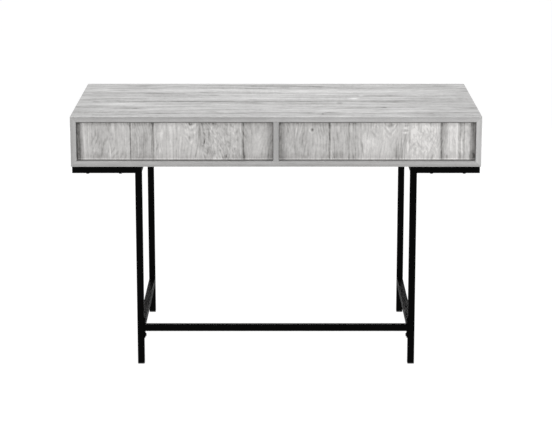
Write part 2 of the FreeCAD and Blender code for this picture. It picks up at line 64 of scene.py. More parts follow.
class Nodes:
    """One material and its nodes. A value is a number or another node's output."""

    def __init__(self, name):
        self.material = bpy.data.materials.new(name)
        self.material.use_nodes = True
        self.tree = self.material.node_tree
        self.tree.nodes.clear()
        coords = self.tree.nodes.new("ShaderNodeTexCoord")
        self.point = coords.outputs["Object"]
        self.x, self.y, self.z = self.split(self.point)
        _, self.ny, self.nz = self.split(coords.outputs["Normal"])

    def add(self, kind, inputs=(), **settings):
        """A new node with those inputs by socket, each a value, and those settings."""
        node = self.tree.nodes.new(kind)
        for name, value in settings.items():
            setattr(node, name, value)
        for socket, value in dict(inputs).items():
            if isinstance(value, bpy.types.NodeSocket):
                self.tree.links.new(value, node.inputs[socket])
            else:
                node.inputs[socket].default_value = value
        return node

    def split(self, vector):
        return self.add("ShaderNodeSeparateXYZ", {0: vector}).outputs

    def math(self, operation, a, b=0.0, c=0.0):
        node = self.add("ShaderNodeMath", {0: a, 1: b, 2: c}, operation=operation)
        return node.outputs[0]

    def plus(self, a, b):
        return self.math("ADD", a, b)

    def minus(self, a, b):
        return self.math("SUBTRACT", a, b)

    def times(self, a, b):
        return self.math("MULTIPLY", a, b)

    def absolute(self, a):
        return self.math("ABSOLUTE", a)

    def weigh(self, start, *terms):
        """start plus each term's value less one half, times its weight."""
        total = start
        for value, weight in terms:
            offset = self.math("MULTIPLY_ADD", value, weight, -0.5 * weight)
            total = self.plus(total, offset)
        return total

    def remap(self, value, low, high, at_low=0.0, at_high=1.0, smooth=True):
        """at_low where value is low and at_high where it is high, and never past either."""
        kind = "SMOOTHSTEP" if smooth else "LINEAR"
        given = {0: value, 1: low, 2: high, 3: at_low, 4: at_high}
        return self.add("ShaderNodeMapRange", given, interpolation_type=kind).outputs[0]

    def facing(self, part):
        """1 on faces square to the axis of that part of the normal, and 0 on the others."""
        return self.remap(part, *FACING)

    def vector(self, x, y, z=0.0):
        return self.add("ShaderNodeCombineXYZ", {0: x, 1: y, 2: z}).outputs[0]

    def scaled(self, vector, scale, offset):
        given = {0: vector, 1: scale, 2: offset}
        return self.add("ShaderNodeVectorMath", given, operation="MULTIPLY_ADD").outputs[0]

    def length(self, vector):
        return self.add("ShaderNodeVectorMath", {0: vector}, operation="LENGTH").outputs["Value"]

    def noise(self, vector, scale, seed=0.0, detail=2.0, rough=0.5, twist=0.0):
        """Noise from 0 to 1 about one half, at so many cells a metre along each axis."""
        if isinstance(scale, float):
            scale = (scale,) * 3
        given = {
            "Vector": self.scaled(vector, scale, (seed * 3.7, seed * 5.3, seed * 1.9)),
            "Scale": 1.0,
            "Detail": detail,
            "Roughness": rough,
            "Distortion": twist,
        }
        return self.add("ShaderNodeTexNoise", given).outputs[0]

    def ramp(self, value, stops):
        """The colour at value, from stops of (place, colour)."""
        node = self.add("ShaderNodeValToRGB", {0: value})
        elements = node.color_ramp.elements
        while len(elements) < len(stops):
            elements.new(0.5)
        for element, (place, colour) in zip(elements, stops):
            element.position = place
            element.color = colour
        return node.outputs[0]

    def blend(self, factor, a, b):
        """The colour a where factor is 0 and b where it is 1."""
        return self.add("ShaderNodeMix", {0: factor, 6: a, 7: b}, data_type="RGBA").outputs[2]

    def choose(self, factor, a, b):
        """The number a where factor is 0 and b where it is 1."""
        return self.add("ShaderNodeMix", {0: factor, 2: a, 3: b}).outputs[0]

    def bump(self, height, distance, strength):
        given = {"Height": height, "Distance": distance, "Strength": strength}
        return self.add("ShaderNodeBump", given).outputs[0]

    def surface(self, colour, roughness, normal=None, **settings):
        """Ends the material in one shader and gives the material back."""
        given = {"Base Color": colour, "Roughness": roughness, **settings}
        if normal is not None:
            given["Normal"] = normal
        shader = self.add("ShaderNodeBsdfPrincipled", given)
        self.add("ShaderNodeOutputMaterial", {0: shader.outputs[0]})
        return self.material


# How strongly each finish reflects.
SATIN = {"Specular IOR Level": 0.35}
DULL = {"Specular IOR Level": 0.3}
MATT_BLACK = {"Specular IOR Level": 0.02}


# ---------------------------------------------------------------- wood décor


def seam_lines(n, across, seams):
    """Printed joints between planks: (place, half width, depth), depth below 0 for a light one."""
    total = 0.0
    for place, half_width, depth in seams:
        away = n.absolute(n.minus(across, place))
        total = n.plus(total, n.remap(away, 0.0, half_width, depth, 0.0))
    return total


def marks(n, point, spots):
    """Soft marks: (along, across, half length, half width, depth), each fading to its rim.
    A sixth number leans the mark: so far across for each step along."""
    total = 0.0
    for along, across, half_length, half_width, depth, *lean in spots:
        leaned = lean_over(n, point, along, lean[0]) if lean else point
        size = (1 / half_length, 1 / half_width, 0.0)
        offset = (-along / half_length, -across / half_width, 0.0)
        inside = n.length(n.scaled(leaned, size, offset))
        total = n.plus(total, n.remap(inside, 0.1, 1.0, depth, 0.0))
    return total


def lean_over(n, point, along, lean):
    """The point, sheared so that a line leaning that much reads as straight."""
    a, c, _ = n.split(point)
    return n.vector(a, n.math("MULTIPLY_ADD", a, -lean, n.plus(c, lean * along)))


RINGS_PER_METRE = 95.0
RING_SWAY = 9.0  # how many rings the bend moves them by, at most


def growth_rings(n, flat, seed, stretch):
    """Thin dark growth lines, 0 to 1: close to parallel, bent into arches where the cut is flat.
    stretch is how many bends a metre they make along the grain."""
    bend = n.noise(flat, (stretch, 13.0, 0), seed + 15.0, 1.5)
    _, across, _ = n.split(flat)
    phase = n.math("MULTIPLY_ADD", bend, RING_SWAY, n.times(across, RINGS_PER_METRE))
    wave = n.math("SINE", n.times(phase, math.tau))
    broken = n.remap(n.noise(flat, (stretch * 4, 60.0, 0), seed + 16.0, 2.0), 0.36, 0.60)
    return n.times(n.remap(wave, -0.1, 1.0), broken)


# The noises in the print: cells a metre along and across, seed step, detail and roughness.
WAVY_NOISE = {
    "band": ((0.9, 16.0, 0.0), 0.0, 2.0, 0.5),
    "ribbon": ((3.4, 36.0, 0.0), 3.3, 3.0, 0.6),
    "streak": ((7.0, 90.0, 0.0), 1.3, 3.0, 0.6),
    "line": ((14.0, 220.0, 0.0), 2.9, 2.0, 0.6),
    "fibre": ((60.0, 1200.0, 0.0), 5.7, 2.0, 0.6),
}
STRAIGHT_NOISE = {
    "blotch": ((38.0, 60.0, 0.0), 6.1, 3.0, 0.6),
    "fleck": ((90.0, 150.0, 0.0), 7.7, 2.0, 0.55),
}
RAY_LEAN = 0.25  # the slope of the sawn rays across the grain


def grain(n, flat, seed, drift_by=0.034, ripple_by=0.007, stretch=2.2):
    """The grain of a printed plank: flat holds along and across. Gives tone parts by name."""
    drift = n.noise(flat, (2.2, 9.0, 0), seed + 4.1, 2.0)
    ripple = n.noise(flat, (11.0, 26.0, 0), seed + 8.3, 1.0)
    along, across, _ = n.split(flat)
    wavy = n.vector(along, n.weigh(across, (drift, drift_by), (ripple, ripple_by)))
    parts = {"wavy": wavy, "ring": growth_rings(n, wavy, seed, stretch)}
    for place, noises in ((wavy, WAVY_NOISE), (flat, STRAIGHT_NOISE)):
        for name, (scale, step, detail, rough) in noises.items():
            parts[name] = n.noise(place, scale, seed + step, detail, rough)
    rays = n.noise(lean_over(n, flat, 0.0, RAY_LEAN), (150.0, 15.0, 0), seed + 9.9, 2.0, 0.6)
    sawn = n.remap(n.noise(flat, (3.0, 8.0, 0), seed + 10.3, 1.0), 0.46, 0.66)
    parts["ray"] = n.choose(sawn, 0.5, rays)
    return parts


# How much each part of the grain darkens or lightens the print, on level and upright grain.
LONG_GRAIN = {
    "band": 0.50, "ribbon": 0.90, "streak": 0.80, "line": 0.42,
    "fibre": 0.16, "blotch": 0.45, "fleck": 0.36, "ray": 0.24,
}
SHORT_GRAIN = {
    "band": 0.20, "ribbon": 0.26, "streak": 0.34, "line": 0.44,
    "fibre": 0.20, "blotch": 0.34, "fleck": 0.50,
}
RING_INK, PORE_INK = 0.15, 0.16


def grain_tone(n, parts, start=0.60, weights=LONG_GRAIN):
    """The print's tone about start, from 0 for ink to 1 for the palest wood."""
    level = n.weigh(start, *((parts[name], weight) for name, weight in weights.items()))
    level = n.minus(level, n.times(parts["ring"], RING_INK))
    return n.minus(level, n.times(pores(n, parts), PORE_INK))


def pores(n, parts):
    """Short dark pore ticks, from 0 to 1."""
    return n.remap(parts["fibre"], 0.60, 0.74)


PALE_WOOD, LIGHT_WOOD, MID_WOOD, DARK_WOOD, INK = 246, 222, 200, 158, 96
CASE_WARMTH, FRONT_WARMTH = 0.003, 0.008


def decor_colour(n, tone, warmth=CASE_WARMTH):
    """The printed greys from tone 0, the darkest ink, to tone 1, the palest wood."""
    stops = [
        (0.0, grey(INK, warmth + 0.008)),
        (0.22, grey(DARK_WOOD, warmth + 0.004)),
        (0.55, grey(MID_WOOD, warmth)),
        (0.82, grey(LIGHT_WOOD, warmth)),
        (1.0, grey(PALE_WOOD, warmth)),
    ]
    return n.ramp(tone, stops)


FOIL_ROUGHNESS = 0.52
FOIL_RELIEF = 0.00012  # how deep the pores are pressed, in metres


def decor_surface(n, tone, parts, warmth=CASE_WARMTH):
    """The foil over the board: printed colour, satin, with shallow pores pressed into it."""
    tick = pores(n, parts)
    colour = decor_colour(n, tone, warmth)
    roughness = n.weigh(FOIL_ROUGHNESS, (parts["streak"], 0.16), (tick, 0.10))
    pressed = ((parts["fibre"], 0.5), (parts["line"], 0.5), (tick, -0.8), (parts["ring"], -0.4))
    normal = n.bump(n.weigh(0.0, *pressed), FOIL_RELIEF, 0.7)
    return n.surface(colour, roughness, normal, **SATIN)


# The tones of the boards' narrow faces: the casing's, its right side's, a front's, a drawer's.
STRIP_TONE, RIGHT_STRIP_TONE, FRONT_EDGE_TONE, BOX_EDGE_TONE = 0.39, 0.60, 0.50, 0.52
STRIP_DRIFT_SPAN, STRIP_DRIFT = (-0.10, 0.12), 0.085  # where along X it pales, and how much
ARRIS, PAINTED_ARRIS_HIGHLIGHT = 0.0016, 0.22  # a painted highlight: the pale line along the casing's lowest edge
LIP, LIP_DARK = 0.0022, 0.26  # the dark line along the opening's upper edge


def edge_band(n, along, across, seed, tone=STRIP_TONE):
    """The narrow face of a board: short even grain with fine specks."""
    flat = n.vector(along, across)
    long_grain = n.noise(flat, (16.0, 240.0, 0), seed, 3.0, 0.6)
    specks = n.noise(flat, (160.0, 420.0, 0), seed + 2.2, 2.0, 0.6)
    cloud = n.noise(flat, (22.0, 60.0, 0), seed + 3.1, 2.0)
    return n.weigh(tone, (long_grain, 0.26), (specks, 0.22), (cloud, 0.16))


def two_tone(n, inward):
    """An edge strip's tone: darker outer half, paler towards the opening, inward in metres."""
    return n.remap(inward, 0.25 * BOARD, 0.65 * BOARD, -0.045, 0.05)


# (across Y, half width, depth)
TOP_SEAMS = (
    (-0.0386, 0.0055, 0.22),
    (0.245, 0.0040, 0.12),
    (0.090, 0.0035, 0.10),
    (-0.150, 0.0035, 0.12),
    (-0.225, 0.0040, 0.14),
)
# (along X, across Y, half length, half width, depth)
TOP_MARKS = (
    (-0.440, 0.257, 0.085, 0.024, 0.18),
    (-0.180, 0.210, 0.170, 0.014, 0.20),
    (-0.055, 0.204, 0.075, 0.012, 0.22),
    (0.030, 0.214, 0.030, 0.018, 0.26),
    (0.130, 0.245, 0.030, 0.018, 0.08),
    (0.525, 0.245, 0.045, 0.018, 0.20),
    (0.000, 0.240, 0.750, 0.050, 0.10),
    (-0.370, 0.103, 0.100, 0.022, 0.18),
    (-0.330, 0.099, 0.060, 0.014, 0.08),
    (-0.222, 0.118, 0.024, 0.012, 0.26),
    (-0.190, 0.079, 0.026, 0.010, 0.20),
    (-0.545, -0.0386, 0.018, 0.010, 0.24),
    (-0.310, -0.0386, 0.250, 0.0090, 0.34),
    (0.090, -0.038, 0.035, 0.012, 0.18),
    (0.420, -0.034, 0.220, 0.020, 0.12),
    (0.192, -0.060, 0.014, 0.040, 0.22),
    (-0.430, -0.154, 0.085, 0.013, 0.26),
    (-0.420, -0.150, 0.012, 0.012, 0.18),
    (-0.592, -0.129, 0.016, 0.016, 0.16),
    (0.323, -0.143, 0.012, 0.014, 0.20),
    (0.308, -0.180, 0.050, 0.075, 0.08),
    (-0.510, -0.221, 0.032, 0.010, 0.24),
    (-0.190, -0.207, 0.026, 0.012, 0.30),
    (-0.345, -0.243, 0.120, 0.020, 0.18),
    (0.156, -0.229, 0.028, 0.010, 0.32),
    (0.137, -0.250, 0.005, 0.020, 0.18),
    (0.523, -0.229, 0.065, 0.013, 0.20),
    (0.000, -0.230, 0.750, 0.036, 0.12),
    (0.238, 0.020, 0.023, 0.021, -0.34),
    (0.262, 0.075, 0.012, 0.035, -0.20),
    (-0.550, 0.180, 0.060, 0.040, -0.14),
    (0.250, 0.145, 0.360, 0.045, -0.16),
    (0.000, 0.155, 0.750, 0.045, -0.09),
    (0.000, 0.020, 0.650, 0.030, -0.08),
    (-0.470, -0.088, 0.130, 0.025, -0.18),
    (-0.010, -0.063, 0.070, 0.016, -0.24),
    (-0.170, -0.080, 0.060, 0.030, -0.12),
    (0.330, -0.075, 0.200, 0.022, -0.14),
    (0.000, -0.100, 0.700, 0.030, -0.08),
    (0.000, -0.275, 0.600, 0.012, -0.10),
)


def case_board(name, seed, wrap=0.0, spots=()):
    """A board of the casing. Its décor runs over the mitred corners on to the side panels.
    wrap is 0 on a level board and 1 or -1 on the right or left side panel."""
    n = Nodes(name)
    drop = n.minus(HALF_WIDTH + CASE_TOP, n.z)
    along = n.times(drop, wrap) if wrap else n.x
    flat = n.vector(along, n.y)
    parts = grain(n, flat, seed)
    _, across, _ = n.split(parts["wavy"])
    strength = n.remap(n.noise(flat, (2.6, 6.0, 0), seed + 9.0, 1.0), 0.34, 0.62, 0.40, 1.0)
    level = grain_tone(n, parts)
    ink = n.times(seam_lines(n, across, TOP_SEAMS), strength)
    if spots:
        broken = n.remap(parts["streak"], 0.30, 0.60, 1.9, 0.9)
        ink = n.plus(ink, n.times(marks(n, parts["wavy"], spots), broken))
    level = n.minus(level, ink)
    tone = n.choose(n.facing(n.absolute(n.ny)), level, front_strip(n, wrap, seed))
    return decor_surface(n, tone, parts)


def strip_drift(n):
    """The top board's edge grows paler towards the right."""
    on_top = n.math("GREATER_THAN", n.z, UNDER_TOP)
    return n.times(on_top, n.remap(n.x, *STRIP_DRIFT_SPAN, 0.0, STRIP_DRIFT))


def front_strip(n, wrap, seed):
    """The tone of a casing board's front and rear edges."""
    if wrap:
        inward = n.minus(HALF_WIDTH, n.absolute(n.x))
        tone = RIGHT_STRIP_TONE if wrap > 0 else STRIP_TONE
        return n.plus(edge_band(n, n.z, n.x, seed + 30, tone), two_tone(n, inward))
    above = n.minus(CASE_TOP, n.z)
    below = n.minus(n.z, CASE_BOTTOM)
    inward = n.math("MINIMUM", n.absolute(above), n.absolute(below))
    band = n.plus(edge_band(n, n.x, n.z, seed + 30), strip_drift(n))
    # a painted highlight along the casing's lowest edge
    arris_highlight = n.remap(n.absolute(below), 0.0, ARRIS, PAINTED_ARRIS_HIGHLIGHT, 0.0)
    from_lip = n.absolute(n.minus(n.z, UNDER_TOP))
    lip = n.remap(from_lip, 0.0, LIP, LIP_DARK, 0.0)
    band = n.plus(band, two_tone(n, inward))
    return n.minus(n.plus(band, arris_highlight), lip)


def divider_board():
    """The upright between the drawers, with the casing's strip on its front edge."""
    n = Nodes("grey_laminate_divider")
    flat = n.vector(n.y, n.z)
    parts = grain(n, flat, 31.0)
    level = grain_tone(n, parts)
    rim = edge_band(n, n.z, n.x, 33.0)
    tone = n.choose(n.facing(n.absolute(n.ny)), level, rim)
    return decor_surface(n, tone, parts)


BACK_SEAMS = ((0.655, 0.003, 0.22), (0.703, 0.003, 0.16))  # (height, half width, depth)


def back_board():
    """The back panel, its grain running along the desk."""
    n = Nodes("grey_laminate_back")
    flat = n.vector(n.x, n.z)
    parts = grain(n, flat, 41.0)
    level = grain_tone(n, parts, 0.58)
    _, across, _ = n.split(parts["wavy"])
    level = n.minus(level, seam_lines(n, across, BACK_SEAMS))
    return decor_surface(n, level, parts)


# ---------------------------------------------------------------- drawer fronts

# Every place here is in metres from the front's own left edge and lower edge. A fade is a
# dark stretch that begins at a joint and dies away: (start, end, depth). A quilt is a patch
# of curly figure: (up, side, half height, half width, strength). The ends give how deep the
# painted shade is at the left and the right end. The arch is as for arches() and the marks are as for
# marks().
LEFT_PRINT = {
    "seams": ((0.157, 0.0034, 0.42), (0.1615, 0.0022, -0.20), (0.2225, 0.0066, 0.24),
              (0.4795, 0.0022, -0.24), (0.4860, 0.0050, 0.24), (0.2625, 0.0016, 0.12)),
    "planks": ((0.157, 0.222, 0.03), (0.226, 0.350, -0.12), (0.488, 0.572, 0.02)),
    "fades": ((0.486, 0.505, 0.16),),
    "arch": (0.334, 0.052, 0.032, 0.014, 1.3),
    "quilts": ((0.055, 0.418, 0.100, 0.062, 0.66),),
    "knot": None,
    # how deep the painted shade is at the left and the right end
    "ends": (0.64, 0.22),
    "marks": (
        (0.055, 0.0225, 0.080, 0.0050, -0.22),
        (0.055, 0.0345, 0.080, 0.0024, -0.28),
        (0.040, 0.077, 0.040, 0.0090, 0.18),
        (0.090, 0.053, 0.034, 0.0030, 0.16),
        (0.022, 0.096, 0.034, 0.0046, -0.46, -0.05),
        (0.098, 0.108, 0.024, 0.0080, -0.22),
        (0.060, 0.1250, 0.060, 0.0022, -0.18),
        (0.070, 0.1330, 0.060, 0.0022, -0.16),
        (0.060, 0.1455, 0.070, 0.0026, -0.22),
        (0.050, 0.195, 0.060, 0.0140, 0.14),
        (0.040, 0.2225, 0.050, 0.0070, 0.10),
        (0.022, 0.243, 0.026, 0.0040, -0.22, 0.3),
        (0.034, 0.236, 0.030, 0.0050, 0.16, 0.3),
        (0.060, 0.249, 0.110, 0.0080, -0.08),
        (0.060, 0.277, 0.110, 0.0050, -0.10),
        (0.060, 0.301, 0.090, 0.0070, -0.08),
        (0.106, 0.335, 0.009, 0.0090, 0.40),
        (0.082, 0.3610, 0.040, 0.0060, 0.20, -0.06),
        (0.024, 0.350, 0.034, 0.0054, 0.34, 0.25),
        (0.018, 0.3565, 0.020, 0.0036, -0.32, 0.1),
        (0.060, 0.382, 0.100, 0.0260, 0.14),
        (0.050, 0.3500, 0.110, 0.0240, -0.10),
        (0.064, 0.3330, 0.012, 0.0110, 0.22),
        (0.030, 0.3880, 0.012, 0.0060, 0.12),
        (0.060, 0.462, 0.080, 0.0120, -0.10),
        (0.055, 0.528, 0.080, 0.0190, -0.24),
    ),
}
RIGHT_PRINT = {
    "seams": ((0.1476, 0.0038, 0.38), (0.1530, 0.0022, -0.16), (0.2048, 0.0026, 0.20),
              (0.2240, 0.0026, 0.20), (0.4740, 0.0054, 0.26), (0.4680, 0.0024, -0.16),
              (0.5205, 0.0042, -0.50), (0.5298, 0.0026, 0.20), (0.5410, 0.0022, 0.14)),
    "planks": ((0.0, 0.1476, 0.03), (0.1476, 0.226, 0.04), (0.240, 0.470, -0.17),
               (0.386, 0.466, -0.12), (0.492, 0.521, -0.28), (0.541, 0.560, -0.20)),
    "fades": ((0.474, 0.494, 0.20),),
    "arch": (0.3248, 0.060, 0.030, 0.005, 1.8),
    "quilts": ((0.055, 0.424, 0.100, 0.046, 0.46), (0.086, 0.282, 0.022, 0.015, 0.70)),
    "knot": (0.0966, 0.0885),
    # how deep the painted shade is at the left and the right end
    "ends": (0.26, 0.40),
    "marks": (
        (0.085, 0.0515, 0.036, 0.0040, -0.34, 0.10),
        (0.082, 0.0640, 0.034, 0.0040, -0.32, 0.16),
        (0.060, 0.0720, 0.044, 0.0120, 0.12, 0.2),
        (0.030, 0.0500, 0.030, 0.0060, 0.22),
        (0.025, 0.0720, 0.028, 0.0050, 0.20),
        (0.0885, 0.0870, 0.009, 0.0060, -0.22),
        (0.060, 0.1090, 0.022, 0.0024, -0.24),
        (0.060, 0.1180, 0.022, 0.0024, -0.24),
        (0.060, 0.1260, 0.022, 0.0024, -0.20),
        (0.060, 0.1340, 0.022, 0.0024, -0.20),
        (0.094, 0.1715, 0.018, 0.0080, -0.22),
        (0.016, 0.1750, 0.018, 0.0360, 0.16),
        (0.092, 0.2140, 0.030, 0.0052, -0.20),
        (0.050, 0.2340, 0.060, 0.0042, -0.18),
        (0.030, 0.2440, 0.030, 0.0048, 0.36, -0.2),
        (0.052, 0.2680, 0.034, 0.0220, -0.24),
        (0.106, 0.3248, 0.020, 0.0120, 0.30),
        (0.018, 0.3480, 0.056, 0.0170, 0.50),
        (0.060, 0.3600, 0.060, 0.0200, 0.22),
        (0.080, 0.3660, 0.0042, 0.0110, -0.46),
        (0.094, 0.3660, 0.0036, 0.0110, -0.36),
        (0.087, 0.3700, 0.0036, 0.0130, 0.26),
        (0.101, 0.3700, 0.0036, 0.0130, 0.26),
        (0.060, 0.3802, 0.060, 0.0026, 0.26),
        (0.040, 0.3740, 0.028, 0.0044, -0.40),
        (0.086, 0.3910, 0.013, 0.0075, -0.36),
        (0.042, 0.5345, 0.050, 0.0050, -0.56),
        (0.010, 0.4890, 0.010, 0.0046, 0.30),
    ),
}


ARCH_STEP = 0.020  # from one arch to the next
ARCH_SWAY = 0.032  # how unevenly they are bent
ARCH_DEPTH = 0.13


def arches(n, side, up, place):
    """Nested arches of a flat-sawn plank, point down: place is the middle, the lowest point,
    the reach to each side, the roundness of the point and the slope of the arms."""
    middle, low, reach, round_off, slope = place
    off = n.minus(side, middle)
    root = n.math("SQRT", n.math("MULTIPLY_ADD", off, off, round_off**2))
    rise = n.minus(up, n.math("MULTIPLY_ADD", root, slope, low - slope * round_off))
    bend = n.noise(n.vector(side, up), (45.0, 30.0, 0), 17.0, 2.0)
    wave = n.math("SINE", n.times(n.weigh(rise, (bend, ARCH_SWAY)), math.tau / ARCH_STEP))
    near = n.remap(n.absolute(off), 0.4 * reach, reach, ARCH_DEPTH, 0.0)
    above = n.remap(rise, -0.020, 0.014)
    return n.times(wave, n.times(near, above))


KNOT_WIDTH = 0.8  # as a share of its height
KNOT_RING = 0.0072  # the radius of the ring about it


def knot(n, side, up, place):
    """A small dark knot with a paler ring about it."""
    offset = (-place[0], -KNOT_WIDTH * place[1], 0.0)
    away = n.length(n.scaled(n.vector(side, up), (1.0, KNOT_WIDTH, 0.0), offset))
    dark = n.remap(away, 0.0012, 0.0056, 0.46, 0.0)
    ring = n.remap(n.absolute(n.minus(away, KNOT_RING)), 0.0, 0.003, 0.12, 0.0)
    return n.minus(dark, ring)


# The painted shade on a front's rim: how far in it reaches, in metres, and how dark it is. Where
# there are two numbers, it starts at the first, fully dark or pale by the second.
END_REACH = 0.019
UPPER_REACH, UPPER_SHADE = 0.013, 0.30
LOWER_REACH, LOWER_SHADE = (0.030, 0.005), 0.14
EDGE_HIGHLIGHT_SPAN, PAINTED_EDGE_HIGHLIGHT = (0.0062, 0.0015), 0.34  # a painted highlight along the lowest edge


def rim_shade(n, side, up, width, height, ends):
    """Painted shade: a front darkens towards its two ends and, less, its upper and lower edges, where
    the casing shades the recessed front, and a painted highlight pales its lowest edge. ends gives
    the depth at the left and the right end."""
    ragged = n.noise(n.vector(side, up), (30.0, 60.0, 0), 77.0, 2.0)
    # painted shade below the upper edge, where the top board shades the front
    upper = n.remap(n.minus(height, up), 0.0, UPPER_REACH, UPPER_SHADE, 0.0, smooth=False)
    # less a painted highlight along the lowest edge
    total = n.minus(upper, n.remap(up, *EDGE_HIGHLIGHT_SPAN, 0.0, PAINTED_EDGE_HIGHLIGHT))
    # painted shade towards the lower edge
    total = n.plus(total, n.remap(up, *LOWER_REACH, 0.0, LOWER_SHADE))
    # painted shade at both ends, where the casing's sides and the divider shade the recessed front
    for from_end, depth in ((side, ends[0]), (n.minus(width, side), ends[1])):
        inside = n.weigh(from_end, (ragged, 0.008))
        total = n.plus(total, n.remap(inside, 0.0, END_REACH, depth, 0.0, smooth=False))
    return total


QUILT_DEPTH = 1.7
QUILT_SLANT = 0.9  # how far the curls lean along the grain for each step across it
PLANK_BLUR, FADE_BLUR = 0.004, 0.0005


def quilt_area(n, side, up, patches):
    """Where the curly figure lies, 0 to 1 times its strength."""
    total = 0.0
    for at_up, at_side, half_up, half_side, strength in patches:
        size = (1 / half_side, 1 / half_up, 0.0)
        offset = (-at_side / half_side, -at_up / half_up, 0.0)
        inside = n.length(n.scaled(n.vector(side, up), size, offset))
        total = n.plus(total, n.remap(inside, 0.72, 1.05, strength, 0.0))
    return total


def curly_figure(n, side, up, patches, seed):
    """The waves of the curly figure, above and below 0."""
    slant = n.vector(n.plus(up, n.times(side, QUILT_SLANT)), side)
    waves = n.noise(slant, (66.0, 104.0, 0), seed + 12, 1.6, 0.5, 0.9)
    there = n.times(quilt_area(n, side, up, patches), QUILT_DEPTH)
    return n.times(n.weigh(0.0, (waves, 1.0)), there)


def plank_shade(n, side, pattern):
    """How much darker than the print's own tone the planks and the fades are."""
    total = 0.0
    for start, end, depth in pattern["planks"]:
        begun = n.remap(side, start, start + PLANK_BLUR, 0.0, depth)
        total = n.plus(total, n.times(begun, n.remap(side, end - PLANK_BLUR, end, 1.0, 0.0)))
    for start, end, depth in pattern["fades"]:
        begun = n.remap(side, start - FADE_BLUR, start)
        total = n.plus(total, n.times(begun, n.remap(side, start, end, depth, 0.0)))
    return total


def front_ink(n, side, up, parts, pattern):
    """What is printed on a front: soft marks, joints and the knot."""
    broken = n.remap(parts["line"], 0.30, 0.66, 1.3, 0.6)
    ink = n.times(marks(n, parts["wavy"], pattern["marks"]), broken)
    ink = n.plus(ink, seam_lines(n, side, pattern["seams"]))
    if pattern["knot"]:
        ink = n.plus(ink, knot(n, side, up, pattern["knot"]))
    return ink


def drawer_front(name, node, pattern, seed):
    """A drawer front: upright grain in printed planks, and plain edges."""
    lo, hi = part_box(node)
    n = Nodes(name)
    side, up = n.minus(n.x, lo[0]), n.minus(n.z, lo[2])
    parts = grain(n, n.vector(up, side), seed, drift_by=0.010, ripple_by=0.012, stretch=7.0)
    _, across, _ = n.split(parts["wavy"])
    level = grain_tone(n, parts, weights=SHORT_GRAIN)
    level = n.minus(level, plank_shade(n, side, pattern))
    level = n.plus(level, curly_figure(n, side, up, pattern["quilts"], seed))
    level = n.plus(level, arches(n, across, up, pattern["arch"]))
    level = n.minus(level, front_ink(n, side, up, parts, pattern))
    # painted shade at the rim where the casing shades the front, and a painted highlight on its
    # lowest edge
    level = n.minus(level, rim_shade(n, side, up, hi[0] - lo[0], hi[2] - lo[2], pattern["ends"]))
    plain = edge_band(n, n.x, n.z, seed + 20, FRONT_EDGE_TONE)
    tone = n.choose(n.facing(n.absolute(n.ny)), plain, level)
    return decor_surface(n, tone, parts, FRONT_WARMTH)


# ---------------------------------------------------------------- other materials


POWDER_BLACK = 6  # a screen level


def black_powder_coat():
    """Baked powder paint: near black, matt, with the fine orange peel such paint has."""
    n = Nodes("black_powder_coat")
    peel = n.noise(n.point, 420.0, 1.0, 2.0, 0.5)
    grit = n.noise(n.point, 2600.0, 2.0, 1.0)
    haze = n.noise(n.point, 9.0, 3.0, 3.0, 0.6)
    tone = n.weigh(0.5, (peel, 0.25), (haze, 0.6), (grit, 0.3))
    colour = n.ramp(tone, [(0.2, grey(POWDER_BLACK - 3)), (0.8, grey(POWDER_BLACK + 4))])
    roughness = n.weigh(0.58, (haze, 0.16), (grit, 0.10))
    normal = n.bump(n.weigh(0.0, (peel, 0.7), (grit, 0.3)), 0.00010, 0.8)
    return n.surface(colour, roughness, normal, **MATT_BLACK)


def black_fastener():
    """Blackened screws, greyer where they have been rubbed."""
    n = Nodes("black_screw_finish")
    fleck = n.noise(n.point, 900.0, 4.0, 3.0, 0.6)
    worn = n.remap(fleck, 0.60, 0.74)
    colour = n.ramp(n.weigh(0.4, (fleck, 0.5), (worn, 0.3)), [(0.1, grey(10)), (0.9, grey(34))])
    roughness = n.weigh(0.40, (fleck, 0.24))
    normal = n.bump(fleck, 0.00004, 0.6)
    return n.surface(colour, roughness, normal, **DULL)


def plastic(name, level, rough):
    """Moulded plastic with a fine even texture."""
    n = Nodes(name)
    texture = n.noise(n.point, 1400.0, 5.0, 2.0)
    cloud = n.noise(n.point, 60.0, 6.0, 2.0)
    tone = n.weigh(0.5, (texture, 0.5), (cloud, 0.5))
    colour = n.ramp(tone, [(0.2, grey(level * 0.9)), (0.8, grey(level * 1.08))])
    roughness = n.weigh(rough, (texture, 0.15), (cloud, 0.08))
    return n.surface(colour, roughness, n.bump(texture, 0.00005, 0.7), **SATIN)


CAST, DRAWN = (480.0, 480.0, 480.0), (480.0, 24.0, 480.0)  # the lines' cells a metre


def zinc(name, level, rough, lines_scale=CAST):
    """Bright zinc plating: spangled tone, drawn lines and small dull patches."""
    n = Nodes(name)
    lines = n.noise(n.point, lines_scale, 7.0, 3.0, 0.6)
    spangle = n.add("ShaderNodeTexVoronoi", {"Vector": n.point, "Scale": 260.0}).outputs["Distance"]
    dull = n.noise(n.point, 35.0, 8.0, 3.0, 0.6)
    tone = n.weigh(0.5, (lines, 0.5), (spangle, 0.25), (dull, 0.4))
    dark, light = grey(level * 0.86, 0.006), grey(level * 1.06, -0.004)
    colour = n.ramp(tone, [(0.15, dark), (0.85, light)])
    roughness = n.weigh(rough, (lines, 0.20), (dull, 0.20))
    return n.surface(colour, roughness, n.bump(lines, 0.00004, 0.6), Metallic=1.0)


# Linear colours, each a darkest and a lightest.
CHIPBOARD = ((0.24, 0.16, 0.09, 1.0), (0.46, 0.34, 0.21, 1.0))
PRESSED_FIBRE = ((0.13, 0.065, 0.03, 1.0), (0.27, 0.15, 0.075, 1.0))
BEECH = ((0.42, 0.27, 0.15, 1.0), (0.66, 0.48, 0.30, 1.0))


